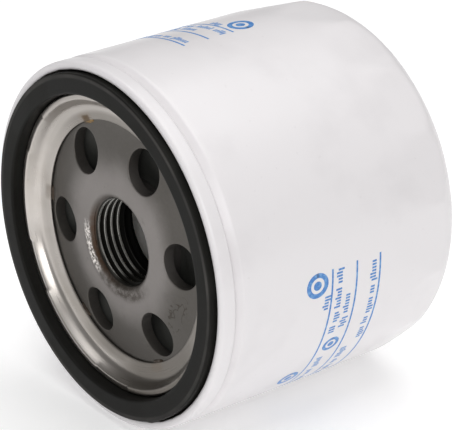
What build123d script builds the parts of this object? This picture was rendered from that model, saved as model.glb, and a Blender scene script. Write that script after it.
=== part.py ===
from build123d import *
from math import asin, cos, degrees, radians, sin, tan
import os

# A spin-on oil filter for a small engine, lying on its side.
# The thread's axis runs along Y. The gasket's sealing face is the plane y = 0 and looks
# towards -Y, the deep-drawn canister reaches back along +Y, and +Z is up.
# Each piece's section is drawn on the XY plane as (radius, station along the axis).

# ---- driving dimensions, in millimetres and degrees -------------------------------------
can_diameter = 76.0
filter_length = 64.5
can_sheet = 0.36
lid_sheet = 0.42
end_corner_radius = 8.3
crown_radius = 800.0
flute_count = 16
flute_slope = 5.0
flute_start = 47.0
skirt_end = 40.0

seam_diameter = 75.9
seam_front = 1.2
seam_back = 4.62
seam_play = 0.02

gasket_outer_radius = 35.8
gasket_inner_radius = 31.4
gasket_edge_radius = 0.2

plate_thickness = 2.5
plate_rim_station = 5.9
plate_crown_station = 4.6
plate_radius = 36.4
plate_flat_radius = 16.5
plate_slope_radius = 24.5
lid_inner_radius = 25.3
weld_count = 6
weld_phase = 56.3

thread_minor_diameter = 17.5
thread_major_diameter = 19.05
collar_wall = 2.4
collar_end = 14.8
collar_lip_radius = 2.2
inlet_count = 6
inlet_diameter = 9.3
inlet_circle_diameter = 39.4
inlet_phase = 6.3

cap_sheet = 0.4
cap_radius = 32.8
cap_rim_height = 3.6
front_cap_station = 14.5
rear_cap_station = 53.9
potting_depth = 2.0
tube_radius = 16.9
tube_sheet = 0.5
tube_hole_diameter = 4.0
tube_hole_rows = 6
tube_plain_length = 5.0
tube_holes_per_row = 10
pleat_count = 48
pleat_outer_radius = 31.4
pleat_inner_radius = 17.3
paper_thickness = 0.7
clip_sheet = 0.35
clip_depth = 3.2

bypass_port_radius = 6.5
bypass_seat_radius = 13.0
poppet_radius = 9.0
poppet_sheet = 0.8
poppet_seal_thickness = 1.05
stem_radius = 1.5
stem_end = 34.5
guide_play = 0.06
cage_radius = 10.6
cage_end = 37.2
bypass_spring_wire = 0.9
bypass_spring_radius = 6.2
bypass_spring_turns = 5.5
leaf_sheet = 0.5
leaf_arm_width = 9.0
leaf_arm_count = 4

# ---- worked-out stations and radii -------------------------------------------------------
can_radius = can_diameter / 2
touch = 0.02  # clearance between pieces that bear on each other
corner = 0.4  # usual inside bend of the thin sheet pieces
lid_wall = seam_diameter / 2 - lid_sheet / 2
layer_step = (lid_sheet + can_sheet) / 2 + seam_play
can_hook = lid_wall - layer_step
lid_hook = can_hook - layer_step
can_neck = lid_hook - layer_step
chuck_wall = can_neck - layer_step
lid_top = seam_front + lid_sheet / 2
lid_curl = seam_back - lid_sheet / 2
can_curl = lid_top + 0.64
channel_floor = plate_rim_station - lid_sheet / 2
thread_minor_radius = thread_minor_diameter / 2
collar_radius = thread_minor_radius + collar_wall + (thread_major_diameter - thread_minor_diameter) / 2
plate_back = plate_rim_station + plate_thickness
crown_back = plate_crown_station + plate_thickness
media_front = front_cap_station + potting_depth
media_rear = rear_cap_station - potting_depth
seat_rear = rear_cap_station - touch
seat_front = seat_rear - 0.6
poppet_rear = seat_front - 0.05 - poppet_seal_thickness
poppet_front = poppet_rear - poppet_sheet


def station(y):
    """Plane across the axis at station y, looking back along +Y."""
    return Plane(origin=(0, y, 0), x_dir=(1, 0, 0), z_dir=(0, 1, 0))


def half_plane(angle):
    """Section plane through the axis, turned by angle from +X towards +Z."""
    return Plane(
        origin=(0, 0, 0),
        x_dir=(cos(radians(angle)), 0, sin(radians(angle))),
        z_dir=(-sin(radians(angle)), 0, cos(radians(angle))),
    )


def ring_section(inner, outer, front, rear):
    """Rectangle from radius inner to outer between two stations, in the open sketch."""
    with Locations(((inner + outer) / 2, (front + rear) / 2)):
        Rectangle(outer - inner, rear - front)


def finish(piece, label):
    """Name one finished piece and write it as its own STEP file."""
    piece.part.label = label
    export_step(piece.part, f"parts/{label}.step")
    print(f"{label}: {piece.part.volume:.1f} mm3")


os.makedirs("parts", exist_ok=True)


# ---- canister: drawn steel can with a hooked rim and a fluted closed end -------------------
def fluted_form(inset):
    """Solid form of the closed end, drawn in by inset from the outer skin."""
    radius = can_radius - inset
    crown_centre = filter_length - crown_radius
    crown_arc = asin(radius / (crown_radius - inset))
    edge = crown_centre + (crown_radius - inset) * cos(crown_arc)
    across_flats = radius + (flute_start - skirt_end) * tan(radians(flute_slope))
    with BuildPart() as form:
        with BuildSketch(Plane.XY):
            with BuildLine():
                crown = CenterArc(
                    (0, crown_centre), crown_radius - inset, 90 - degrees(crown_arc), degrees(crown_arc)
                )
                Polyline(crown @ 1, (0, skirt_end), (radius, skirt_end), crown @ 0)
            make_face()
            fillet(vertices().sort_by_distance((radius, edge))[0], end_corner_radius - inset)
        revolve(axis=Axis.Y)
        with BuildSketch(station(skirt_end)):
            RegularPolygon(across_flats, flute_count, major_radius=False, rotation=180 / flute_count)
        extrude(amount=filter_length - skirt_end, taper=flute_slope, mode=Mode.INTERSECT)
    return form.part


outer_form = fluted_form(0)
inner_form = fluted_form(can_sheet)
with BuildPart() as canister:
    with BuildSketch(Plane.XY):
        with BuildLine():
            FilletPolyline(
                (can_hook, seam_back - lid_sheet - 0.25),
                (can_hook, can_curl),
                (can_neck, can_curl),
                (can_neck, seam_back + 0.35),
                (can_radius - can_sheet / 2, seam_back + 2.0),
                (can_radius - can_sheet / 2, skirt_end),
                radius=[0.36, 0.36, 0.5, 1.2],
            )
        trace(line_width=can_sheet)
    revolve(axis=Axis.Y)
    add(outer_form)
    add(inner_form, mode=Mode.SUBTRACT)
finish(canister, "canister")

# ---- seaming lid: tinplate ring that holds the gasket and closes the double seam -----------
lid_crest = seam_front + 1.3
with BuildPart() as seaming_lid:
    with BuildSketch(Plane.XY):
        with BuildLine():
            FilletPolyline(
                (lid_inner_radius, 5.51),
                (28.6, 4.8),
                (30.0, lid_crest),
                (30.95, lid_crest),
                (31.05, channel_floor),
                (chuck_wall, channel_floor),
                (chuck_wall, lid_top),
                (lid_wall, lid_top),
                (lid_wall, lid_curl),
                (lid_hook, lid_curl),
                (lid_hook, can_curl + 0.4),
                radius=[2.0, 0.42, 0.42, 0.5, 0.5, 0.72, 0.72, 0.36, 0.36],
            )
        trace(line_width=lid_sheet)
    revolve(axis=Axis.Y)
finish(seaming_lid, "seaming_lid")

# ---- seam sealing compound: lining squeezed into the head of the double seam ----------------
with BuildPart() as seam_sealing_compound:
    with BuildSketch(Plane.XY):
        ring_section(can_neck + 0.08, can_hook - 0.1, lid_top + 0.27, can_curl - can_sheet / 2 - touch)
    revolve(axis=Axis.Y)
finish(seam_sealing_compound, "seam_sealing_compound")

# ---- tapping plate: thick threaded plate with six inlet holes and an extruded collar --------
with BuildPart() as tapping_plate:
    with BuildSketch(Plane.XY):
        with BuildLine():
            Polyline(
                (thread_minor_radius, plate_crown_station),
                (plate_flat_radius, plate_crown_station),
                (plate_slope_radius, plate_rim_station),
                (plate_radius, plate_rim_station),
                (plate_radius, plate_back),
                (plate_slope_radius, plate_back),
                (plate_flat_radius, crown_back),
                (collar_radius, crown_back),
                (collar_radius, collar_end),
                (thread_minor_radius, collar_end),
                close=True,
            )
        make_face()
        fillet(
            vertices().sort_by_distance((thread_minor_radius, plate_crown_station))[0],
            collar_lip_radius,
        )
        fillet(vertices().sort_by_distance((collar_radius, crown_back))[0], 0.8)
        chamfer(vertices().sort_by_distance((collar_radius, collar_end))[0], 0.5)
    revolve(axis=Axis.Y)
    with BuildSketch(station(plate_crown_station)):
        with PolarLocations(inlet_circle_diameter / 2, inlet_count, start_angle=-inlet_phase):
            Circle(inlet_diameter / 2)
    extrude(amount=plate_back, mode=Mode.SUBTRACT)
finish(tapping_plate, "tapping_plate")

# ---- lid welds: projection welds that tie the lid's inner edge to the plate -----------------
weld_arc = 8.0
with BuildPart() as lid_spot_welds:
    for weld in range(weld_count):
        weld_angle = weld_phase + weld * 360 / weld_count
        with BuildSketch(half_plane(weld_angle - weld_arc / 2)):
            Polygon(
                (24.7, plate_rim_station - touch),
                (27.4, plate_rim_station - touch),
                (27.4, plate_rim_station - 0.45),
                (lid_inner_radius, plate_rim_station - 0.1),
                (24.7, plate_rim_station - 0.1),
                align=None,
            )
        revolve(axis=Axis.Y, revolution_arc=-weld_arc)
finish(lid_spot_welds, "lid_spot_welds")

# ---- sealing gasket: moulded rubber ring standing proud of the seam -------------------------
with BuildPart() as sealing_gasket:
    gasket_rear = channel_floor - lid_sheet / 2 - touch
    with BuildSketch(Plane.XY):
        with BuildLine():
            Polyline(
                (gasket_inner_radius, 0),
                (gasket_outer_radius, 0),
                (gasket_outer_radius, gasket_rear),
                (gasket_inner_radius, gasket_rear),
                close=True,
            )
        make_face()
        chamfer(vertices().group_by(Axis.Y)[-1], 0.4)
        fillet(vertices().sort_by_distance((gasket_inner_radius, 0))[0], 0.5)
        fillet(vertices().sort_by_distance((gasket_outer_radius, 0))[0], gasket_edge_radius)
    revolve(axis=Axis.Y)
finish(sealing_gasket, "sealing_gasket")

# ---- anti-drainback valve: rubber diaphragm on the collar whose lip covers the inlets -------
hub_bore = collar_radius + touch
hub_radius = 14.0
hub_front = crown_back + 3.8
hub_rear = front_cap_station - cap_sheet - 0.3
lip_front = plate_back + touch
with BuildPart() as anti_drainback_valve:
    with BuildSketch(Plane.XY):
        Polygon(
            (hub_bore, hub_front),
            (hub_radius - 0.4, hub_front),
            (26.5, lip_front),
            (29.6, lip_front),
            (29.6, lip_front + 0.7),
            (26.6, lip_front + 0.85),
            (hub_radius, hub_front + 0.85),
            (hub_radius, hub_rear),
            (hub_bore, hub_rear),
            align=None,
        )
    revolve(axis=Axis.Y)
finish(anti_drainback_valve, "anti_drainback_valve")

# ---- element end caps: pressed steel dishes at the two ends of the pleated pack -------------
with BuildPart() as front_end_cap:
    sleeve = hub_radius + touch + cap_sheet / 2
    front_face = front_cap_station - cap_sheet / 2
    with BuildSketch(Plane.XY):
        with BuildLine():
            FilletPolyline(
                (sleeve, hub_front + 1.2),
                (sleeve, front_face),
                (cap_radius, front_face),
                (cap_radius, front_face + cap_rim_height),
                radius=[corner, 0.8],
            )
        trace(line_width=cap_sheet)
    revolve(axis=Axis.Y)
finish(front_end_cap, "front_end_cap")

with BuildPart() as rear_end_cap:
    rear_face = rear_cap_station + cap_sheet / 2
    with BuildSketch(Plane.XY):
        with BuildLine():
            FilletPolyline(
                (bypass_port_radius + 2.8, rear_face),
                (cap_radius, rear_face),
                (cap_radius, rear_face - cap_rim_height),
                radius=[0.8],
            )
        trace(line_width=cap_sheet)
    revolve(axis=Axis.Y)
finish(rear_end_cap, "rear_end_cap")

# ---- potting rings: plastisol that seals the pleats' ends into the caps ---------------------
potting_inner = tube_radius + touch
potting_outer = cap_radius - cap_sheet / 2 - 0.65
for label, front in (("front_potting_ring", front_cap_station), ("rear_potting_ring", media_rear)):
    with BuildPart() as potting_ring:
        with BuildSketch(Plane.XY):
            ring_section(potting_inner, potting_outer, front + touch, front + potting_depth - touch)
        revolve(axis=Axis.Y)
    finish(potting_ring, label)


# ---- pleated media: filter paper folded into a star and joined at its top pleat -------------
def polar(radius, half_width, angle):
    """Two points at one radius, half_width either side of angle, in turning order."""
    spread = degrees(asin(half_width / radius))
    return [
        (radius * cos(radians(angle + side * spread)), radius * sin(radians(angle + side * spread)))
        for side in (-1, 1)
    ]


def pleat_loop(crest, crest_half, valley, valley_half, seam_drop):
    """Closed star outline; the pleat at a quarter turn is seam_drop lower than the rest."""
    points = []
    for pleat in range(pleat_count):
        pleat_angle = pleat * 360 / pleat_count
        drop = seam_drop if pleat == pleat_count * 3 // 4 else 0
        points += polar(crest - drop, crest_half, pleat_angle)
        points += polar(valley, valley_half, pleat_angle + 180 / pleat_count)
    return points


pleat_half = 0.85
fold_half = pleat_half - paper_thickness
with BuildPart() as pleated_media:
    with BuildSketch(station(media_front)):
        Polygon(
            *pleat_loop(
                pleat_outer_radius, pleat_half, pleat_inner_radius + paper_thickness, fold_half, 1.0
            ),
            align=None,
        )
        Polygon(
            *pleat_loop(
                pleat_outer_radius - paper_thickness, fold_half, pleat_inner_radius, pleat_half, 3.0
            ),
            align=None,
            mode=Mode.SUBTRACT,
        )
    extrude(amount=media_rear - media_front)
finish(pleated_media, "pleated_media")

# ---- media side seam clip: steel channel pinching the paper's two free ends -----------------
clip_inside = pleat_half + 0.08
clip_height = pleat_outer_radius - 0.55
with BuildPart() as media_seam_clip:
    with BuildSketch(station(media_front + 0.5)):
        with BuildLine():
            FilletPolyline(
                (-clip_inside - clip_sheet / 2, -clip_height + clip_depth),
                (-clip_inside - clip_sheet / 2, -clip_height),
                (clip_inside + clip_sheet / 2, -clip_height),
                (clip_inside + clip_sheet / 2, -clip_height + clip_depth),
                radius=[0.2, 0.2],
            )
        trace(line_width=clip_sheet)
    extrude(amount=media_rear - media_front - 1.0)
finish(media_seam_clip, "media_seam_clip")

# ---- centre tube: perforated core that carries the pleats' inner folds ----------------------
with BuildPart() as centre_tube:
    tube_front = front_cap_station + touch
    tube_rear = rear_cap_station - touch
    with BuildSketch(Plane.XY):
        ring_section(tube_radius - tube_sheet, tube_radius, tube_front, tube_rear)
    revolve(axis=Axis.Y)
    first_row = media_front + tube_plain_length
    row_pitch = (media_rear - first_row) / tube_hole_rows
    for row in range(tube_hole_rows):
        row_station = first_row + (row + 0.5) * row_pitch
        for hole in range(tube_holes_per_row):
            hole_angle = (hole + row % 2 / 2) * 360 / tube_holes_per_row
            direction = (cos(radians(hole_angle)), 0, sin(radians(hole_angle)))
            with BuildSketch(Plane(origin=(0, row_station, 0), x_dir=(0, 1, 0), z_dir=direction)):
                Circle(tube_hole_diameter / 2)
            extrude(amount=tube_radius + 1, mode=Mode.SUBTRACT)
finish(centre_tube, "centre_tube")

# ---- bypass valve: seat, cage, poppet with its rubber face, and return spring ---------------
with BuildPart() as bypass_valve_seat:
    with BuildSketch(Plane.XY):
        ring_section(bypass_port_radius, bypass_seat_radius, seat_front, seat_rear)
        chamfer(vertices().sort_by_distance((bypass_port_radius, seat_rear))[0], 0.3)
    revolve(axis=Axis.Y)
finish(bypass_valve_seat, "bypass_valve_seat")

cage_flange = seat_front - touch - cap_sheet / 2
with BuildPart() as bypass_valve_cage:
    with BuildSketch(Plane.XY):
        with BuildLine():
            FilletPolyline(
                (bypass_seat_radius, cage_flange),
                (cage_radius, cage_flange),
                (cage_radius, cage_end),
                (stem_radius + guide_play, cage_end),
                radius=[corner, 1.0],
            )
        trace(line_width=cap_sheet)
    revolve(axis=Axis.Y)
    window_height = 9.0
    for window in range(4):
        window_angle = 45 + window * 90
        outward = (cos(radians(window_angle)), 0, sin(radians(window_angle)))
        with BuildSketch(Plane(origin=(0, cage_end + 7.2, 0), x_dir=(0, 1, 0), z_dir=outward)):
            RectangleRounded(window_height, 8.0, 1.5)
        extrude(amount=bypass_seat_radius, mode=Mode.SUBTRACT)
finish(bypass_valve_cage, "bypass_valve_cage")

with BuildPart() as bypass_poppet:
    with BuildSketch(Plane.XY):
        ring_section(0, poppet_radius, poppet_front, poppet_rear)
        ring_section(0, stem_radius, stem_end, poppet_rear)
        fillet(vertices().sort_by_distance((stem_radius, poppet_front))[0], 0.6)
        chamfer(vertices().sort_by_distance((stem_radius, stem_end))[0], 0.4)
    revolve(axis=Axis.Y)
finish(bypass_poppet, "bypass_poppet")

with BuildPart() as bypass_poppet_seal:
    with BuildSketch(Plane.XY):
        ring_section(
            bypass_port_radius - 1.2,
            poppet_radius,
            poppet_rear + touch,
            poppet_rear + poppet_seal_thickness,
        )
        chamfer(vertices().group_by(Axis.Y)[-1].sort_by(Axis.X)[-1], 0.3)
    revolve(axis=Axis.Y)
finish(bypass_poppet_seal, "bypass_poppet_seal")

spring_front = cage_end + cap_sheet / 2 + touch + bypass_spring_wire / 2
spring_rear = poppet_front - touch - bypass_spring_wire / 2
spring_path = Helix(
    pitch=(spring_rear - spring_front) / bypass_spring_turns,
    height=spring_rear - spring_front,
    radius=bypass_spring_radius,
    center=(0, spring_front, 0),
    direction=(0, 1, 0),
)
with BuildPart() as bypass_spring:
    with BuildSketch(Plane(origin=spring_path @ 0, z_dir=spring_path % 0)):
        Circle(bypass_spring_wire / 2)
    sweep(path=spring_path, is_frenet=True)
finish(bypass_spring, "bypass_spring")

# ---- element support spring: four-armed leaf between the rear cap and the dome --------------
leaf_crown = filter_length - can_sheet - 0.1 - leaf_sheet / 2
leaf_foot = rear_cap_station + cap_sheet + touch + leaf_sheet / 2
with BuildPart() as element_support_spring:
    with BuildSketch(Plane.XY):
        with BuildLine():
            FilletPolyline(
                (5.5, leaf_crown),
                (11.0, leaf_crown),
                (20.5, leaf_foot + 1.6),
                (26.0, leaf_foot),
                (28.5, leaf_foot),
                radius=[3.0, 6.0, 4.0],
            )
        trace(line_width=leaf_sheet)
    revolve(axis=Axis.Y)
    with BuildSketch(station(leaf_foot - 1)):
        Circle(11.5)
        with PolarLocations(0, leaf_arm_count):
            Rectangle(30, leaf_arm_width, align=(Align.MIN, Align.CENTER))
    extrude(amount=leaf_crown - leaf_foot + 2, mode=Mode.INTERSECT)
finish(element_support_spring, "element_support_spring")
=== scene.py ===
"""Visual model of a spin-on oil filter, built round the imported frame."""

import logging
import math
from collections.abc import Callable, Sequence
from dataclasses import dataclass, field
from enum import Enum

import bmesh
import bpy
import numpy as np
from mathutils import Matrix, Vector


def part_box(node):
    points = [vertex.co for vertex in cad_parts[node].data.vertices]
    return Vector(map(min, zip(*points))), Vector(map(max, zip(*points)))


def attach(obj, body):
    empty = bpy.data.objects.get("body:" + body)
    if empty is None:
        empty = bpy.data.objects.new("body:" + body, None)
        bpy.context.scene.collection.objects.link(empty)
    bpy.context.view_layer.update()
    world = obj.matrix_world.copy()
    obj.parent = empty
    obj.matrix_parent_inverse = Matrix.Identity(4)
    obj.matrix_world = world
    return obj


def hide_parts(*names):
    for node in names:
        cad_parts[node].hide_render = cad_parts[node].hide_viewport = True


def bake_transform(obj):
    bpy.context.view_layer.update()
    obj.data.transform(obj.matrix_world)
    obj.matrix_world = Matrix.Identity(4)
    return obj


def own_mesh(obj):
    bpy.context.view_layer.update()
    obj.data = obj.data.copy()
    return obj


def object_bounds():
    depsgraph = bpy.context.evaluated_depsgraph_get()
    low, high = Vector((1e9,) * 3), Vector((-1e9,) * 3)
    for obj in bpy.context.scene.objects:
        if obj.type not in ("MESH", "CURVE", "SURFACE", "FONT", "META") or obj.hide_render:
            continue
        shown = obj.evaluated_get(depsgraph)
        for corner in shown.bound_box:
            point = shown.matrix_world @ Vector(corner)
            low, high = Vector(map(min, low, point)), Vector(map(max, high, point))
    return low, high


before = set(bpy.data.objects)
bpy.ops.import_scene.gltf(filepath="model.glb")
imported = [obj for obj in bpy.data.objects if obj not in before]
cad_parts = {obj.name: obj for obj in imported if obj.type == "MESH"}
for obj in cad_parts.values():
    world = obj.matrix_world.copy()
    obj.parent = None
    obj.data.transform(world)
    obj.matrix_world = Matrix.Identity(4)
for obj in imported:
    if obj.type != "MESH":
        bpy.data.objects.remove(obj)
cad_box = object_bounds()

log = logging.getLogger("oil_filter")

MM = 0.001
TURN = 2 * math.pi
MERGE_DISTANCE = 2e-7

Warp = Callable[[np.ndarray, np.ndarray, np.ndarray], tuple[np.ndarray, np.ndarray]]


# ---- shader toolkit ------------------------------------------------------------------------
class Sock:
    """One output socket of a node, which joins sums written as Python expressions."""

    def __init__(self, graph: "Graph", link: bpy.types.NodeSocket) -> None:
        """Wrap link, a socket in graph."""
        self.graph = graph
        self.link = link

    def __add__(self, other: "Sock | float") -> "Sock":
        """Return self + other."""
        return self.graph.maths("ADD", self, other)

    def __sub__(self, other: "Sock | float") -> "Sock":
        """Return self - other."""
        return self.graph.maths("SUBTRACT", self, other)

    def __rsub__(self, other: float) -> "Sock":
        """Return other - self."""
        return self.graph.maths("SUBTRACT", other, self)

    def __mul__(self, other: "Sock | float") -> "Sock":
        """Return self * other."""
        return self.graph.maths("MULTIPLY", self, other)

    def __truediv__(self, other: "Sock | float") -> "Sock":
        """Return self / other."""
        return self.graph.maths("DIVIDE", self, other)

    def __rtruediv__(self, other: float) -> "Sock":
        """Return other / self."""
        return self.graph.maths("DIVIDE", other, self)

    def __pow__(self, other: float) -> "Sock":
        """Return self to the power other."""
        return self.graph.maths("POWER", self, other)

    def __rpow__(self, other: float) -> "Sock":
        """Return other to the power self."""
        return self.graph.maths("POWER", other, self)

    __radd__ = __add__
    __rmul__ = __mul__

    def maximum(self, other: "Sock | float") -> "Sock":
        """Return the larger of self and other."""
        return self.graph.maths("MAXIMUM", self, other)

    def ramp(self, start: float, end: float, low: float = 0.0, high: float = 1.0) -> "Sock":
        """Return low before start, high after end and a smooth step between them."""
        return self.graph.node(
            "ShaderNodeMapRange",
            {"interpolation_type": "SMOOTHSTEP"},
            {"Value": self, "From Min": start, "From Max": end, "To Min": low, "To Max": high},
        )

    def fade(self, start: float, end: float, high: float = 1.0) -> "Sock":
        """Return high before start, falling to nothing at end."""
        return self.ramp(start, end, high, 0.0)

    def band(self, start: float, end: float, soft: float) -> "Sock":
        """Return one between start and end, fading to nothing over soft on each side."""
        return self.ramp(start - soft, start) * self.fade(end, end + soft)


Colour = tuple[float, float, float]
Value = Sock | float | Colour | tuple[float, float, float, float]


class Graph:
    """The node tree of one material."""

    def __init__(self, name: str) -> None:
        """Start an empty material called name."""
        self.material = bpy.data.materials.new(name)
        self.material.use_nodes = True
        self.tree = self.material.node_tree
        self.tree.nodes.clear()

    def node(
        self,
        kind: str,
        settings: dict[str, object] | None = None,
        inputs: dict[str | int, Value] | None = None,
        output: str | int = 0,
    ) -> Sock:
        """Add one node.

        Args:
            kind: The node's Blender type.
            settings: Its own settings.
            inputs: Values or links for its sockets, by name or number.
            output: The socket that is returned.

        Returns:
            The chosen output, ready for an expression.
        """
        made = self.tree.nodes.new(kind)
        for key, setting in (settings or {}).items():
            setattr(made, key, setting)
        for key, value in (inputs or {}).items():
            if isinstance(value, Sock):
                self.tree.links.new(value.link, made.inputs[key])
            else:
                made.inputs[key].default_value = value
        return Sock(self, made.outputs[output])

    def maths(self, operation: str, *values: Sock | float) -> Sock:
        """Return the Math node that runs operation on values."""
        return self.node("ShaderNodeMath", {"operation": operation}, dict(enumerate(values)))

    def place(self) -> Sock:
        """Return the point on the piece, in its own metres."""
        return self.node("ShaderNodeTexCoord", output="Object")

    def vector(self, x: Value, y: Value, z: Value) -> Sock:
        """Return the vector of three numbers."""
        return self.node("ShaderNodeCombineXYZ", inputs={0: x, 1: y, 2: z})

    def split(self, vector: Sock) -> list[Sock]:
        """Return the three numbers of vector."""
        made = self.node("ShaderNodeSeparateXYZ", inputs={0: vector})
        return [Sock(self, out) for out in made.link.node.outputs]

    def axial(self) -> tuple[Sock, Sock, Sock]:
        """Return radius and station in millimetres, and the unit vector out from the axis."""
        x, y, z = self.split(self.place())
        radius = (x * x + z * z) ** 0.5 / MM
        metres = radius * MM + 1e-6
        return radius, y / MM, self.vector(x / metres, 0.0, z / metres)

    def toward(self, degrees: float) -> Sock:
        """Return 1 on the side of the axis at this angle from +X, and -1 on the other side."""
        turn = math.radians(degrees)
        inputs = {0: self.axial()[2], 1: (math.cos(turn), 0.0, math.sin(turn))}
        return self.node("ShaderNodeVectorMath", {"operation": "DOT_PRODUCT"}, inputs, "Value")

    def repeats(self, count: int, phase: float) -> Sock:
        """Return a wave that is 1 at phase degrees and at count even steps round the axis."""
        x, _, z = self.split(self.place())
        turn = self.maths("ARCTAN2", z, x) * float(count) - math.radians(phase * count)
        return self.maths("COSINE", turn)

    def noise(
        self, scale: float, detail: float = 3.0, rough: float = 0.5, vector: Sock | None = None
    ) -> Sock:
        """Return a noise value from 0 to 1 with features about 1 / scale across."""
        inputs = {"Scale": scale, "Detail": detail, "Roughness": rough}
        inputs["Vector"] = self.place() if vector is None else vector
        return self.node("ShaderNodeTexNoise", inputs=inputs)

    def scratches(self, across: float, along: float) -> Sock:
        """Return noise drawn out round the axis.

        Args:
            across: Lines to each millimetre out from the axis.
            along: Breaks in a line, for each radian round the axis.

        Returns:
            The noise, from 0 to 1.
        """
        radius, station, ring = self.axial()
        x, _, z = self.split(ring)
        stretched = self.vector(x * along + radius * across, station * across, z * along)
        return self.noise(1.0, 2.0, 0.6, stretched)

    def mix(self, mask: Value, low: Value, high: Value) -> Sock:
        """Return colour low where mask is 0 and high where it is 1."""
        inputs = {
            key: (*value, 1.0) if isinstance(value, tuple) else value
            for key, value in ((0, mask), (6, low), (7, high))
        }
        return self.node("ShaderNodeMix", {"data_type": "RGBA", "clamp_factor": True}, inputs, 2)

    def bump(self, height: Sock, distance: float, strength: float) -> Sock:
        """Return the normal of a surface raised by height times distance in millimetres."""
        inputs = {"Height": height, "Distance": distance * MM, "Strength": strength}
        return self.node("ShaderNodeBump", inputs=inputs)

    def principled(self, **values: Value) -> Sock:
        """Return a Principled BSDF whose sockets are named with underscores for spaces."""
        inputs = {
            key.replace("_", " ").title().replace("Ior", "IOR"):
                (*value, 1.0) if isinstance(value, tuple) else value
            for key, value in values.items()
        }
        return self.node("ShaderNodeBsdfPrincipled", inputs=inputs)

    def layered(self, mask: Sock, below: Sock, above: Sock) -> Sock:
        """Return shader below, covered by above where mask is 1."""
        return self.node("ShaderNodeMixShader", inputs={0: mask, 1: below, 2: above})


# ---- finishes ------------------------------------------------------------------------------
class Finish:
    """What a piece is made of or coated with."""

    name: str

    def shader(self, graph: Graph) -> Sock:
        """Return the finish's shader in graph."""
        raise NotImplementedError

    def material(self) -> bpy.types.Material:
        """Return the finish as a material."""
        graph = Graph(self.name)
        out = graph.tree.nodes.new("ShaderNodeOutputMaterial")
        graph.tree.links.new(self.shader(graph).link, out.inputs["Surface"])
        return graph.material


@dataclass(frozen=True)
class Enamel(Finish):
    """White baked enamel with a faint orange peel and greyer handling marks."""

    name: str = "white_enamel"
    colour: Colour = (0.79, 0.765, 0.775)
    shade: Colour = (0.70, 0.675, 0.685)
    roughness: float = 0.34

    def shader(self, graph: Graph) -> Sock:
        """Return the enamel's shader in graph."""
        marks = graph.noise(70.0, 4.0).ramp(0.45, 0.75)
        speck = graph.noise(900.0, 1.0).ramp(0.74, 0.80)
        peel = graph.noise(1400.0, 2.0) + graph.noise(160.0, 2.0) * 2.0
        cloud = graph.noise(120.0)
        return graph.principled(
            base_color=graph.mix(marks * 0.5 + speck * 0.35, self.colour, self.shade),
            roughness=cloud.ramp(0.3, 0.7, self.roughness - 0.06, self.roughness + 0.08),
            specular_ior_level=0.5,
            coat_weight=0.25,
            coat_roughness=0.18,
            normal=graph.bump(peel, 0.004, 0.5),
        )


@dataclass(frozen=True)
class Tinplate(Finish):
    """Bright rolled tinplate, warm in places, with rubbed streaks and smudges."""

    name: str = "tinplate"
    colour: Colour = (0.60, 0.562, 0.528)
    smudge: Colour = (0.36, 0.32, 0.27)
    roughness: float = 0.31

    def shader(self, graph: Graph) -> Sock:
        """Return the plate's shader in graph."""
        streak = graph.scratches(2.2, 3.0)
        smudge = graph.noise(90.0, 3.0, 0.5).ramp(0.45, 0.85)
        fleck = graph.noise(700.0, 2.0).ramp(0.70, 0.78)
        return graph.principled(
            base_color=graph.mix(smudge * 0.5 + fleck * 0.15, self.colour, self.smudge),
            metallic=1.0,
            roughness=streak.ramp(0.2, 0.8, self.roughness - 0.05, self.roughness + 0.06),
            normal=graph.bump(streak * 0.2 + graph.noise(130.0, 1.0) * 3.0, 0.006, 0.22),
        )


@dataclass(frozen=True)
class LidFinish(Finish):
    """Bare tinplate inside the gasket channel and enamel over the rolled seam, with painted shade
    where the tin's reflections are darker.
    """

    enamel: Enamel
    tin: Tinplate
    paint_edge: float
    paint_end: float
    weld_radius: float
    weld_phase: float
    welds: int
    gilt_side: float = 116.3
    # the sides where painted shade darkens the tin, and the side where it is weaker
    shaded_low_side: float = 303.0
    shaded_top_side: float = 100.0
    less_shaded_side: float = 190.0
    # the colour of the painted shade on the tin
    darkening: Colour = (0.12, 0.107, 0.091)
    tint: Colour = (0.10, 0.066, 0.036)
    name: str = "lid_tin_and_enamel"

    def burnt(self, graph: Graph, radius: Sock, ragged: Sock) -> Sock:
        """Return how far the tin is tinted by the heat of the welds."""
        beside = (graph.repeats(self.welds, self.weld_phase) + ragged).ramp(0.78, 1.0)
        near = (radius + ragged * 4.0).fade(self.weld_radius + 0.7, self.weld_radius + 2.1)
        return beside * near * graph.toward(self.gilt_side).ramp(0.3, 0.98, 0.45, 1.0)

    def darkened(self, graph: Graph, radius: Sock) -> Sock:
        """Return how far painted shade darkens the tin, standing for its darker reflections: on the
        low side, on the top side and on the inner land, less on one side.
        """
        inner = radius.fade(self.weld_radius + 1.0, self.weld_radius + 3.4, 0.75)
        inner = inner * graph.toward(self.less_shaded_side).ramp(0.3, 0.9, 1.0, 0.4)
        low = graph.toward(self.shaded_low_side).ramp(0.60, 0.97) * 0.9
        high = graph.toward(self.shaded_top_side).ramp(0.25, 0.95) * 0.42
        return inner.maximum(low.maximum(high))

    def shader(self, graph: Graph) -> Sock:
        """Return the lid's shader in graph."""
        radius, station, _ = graph.axial()
        ragged = graph.noise(420.0, 3.0) * 0.5 - 0.25
        painted = (radius + ragged).ramp(self.paint_edge - 0.08, self.paint_edge + 0.08)
        painted = painted * station.fade(self.paint_end, self.paint_end + 0.2)
        burnt = self.burnt(graph, radius, ragged * 0.3)
        # painted shade: the tin turns to the shade colour where its reflections are darker, and to
        # the heat tint beside the welds
        shade_and_heat_tint = graph.principled(
            base_color=graph.mix(burnt, self.darkening, self.tint), metallic=0.85, roughness=0.34
        )
        mask = self.darkened(graph, radius).maximum(burnt)
        tin = graph.layered(mask, self.tin.shader(graph), shade_and_heat_tint)
        return graph.layered(painted, tin, self.enamel.shader(graph))


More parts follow.
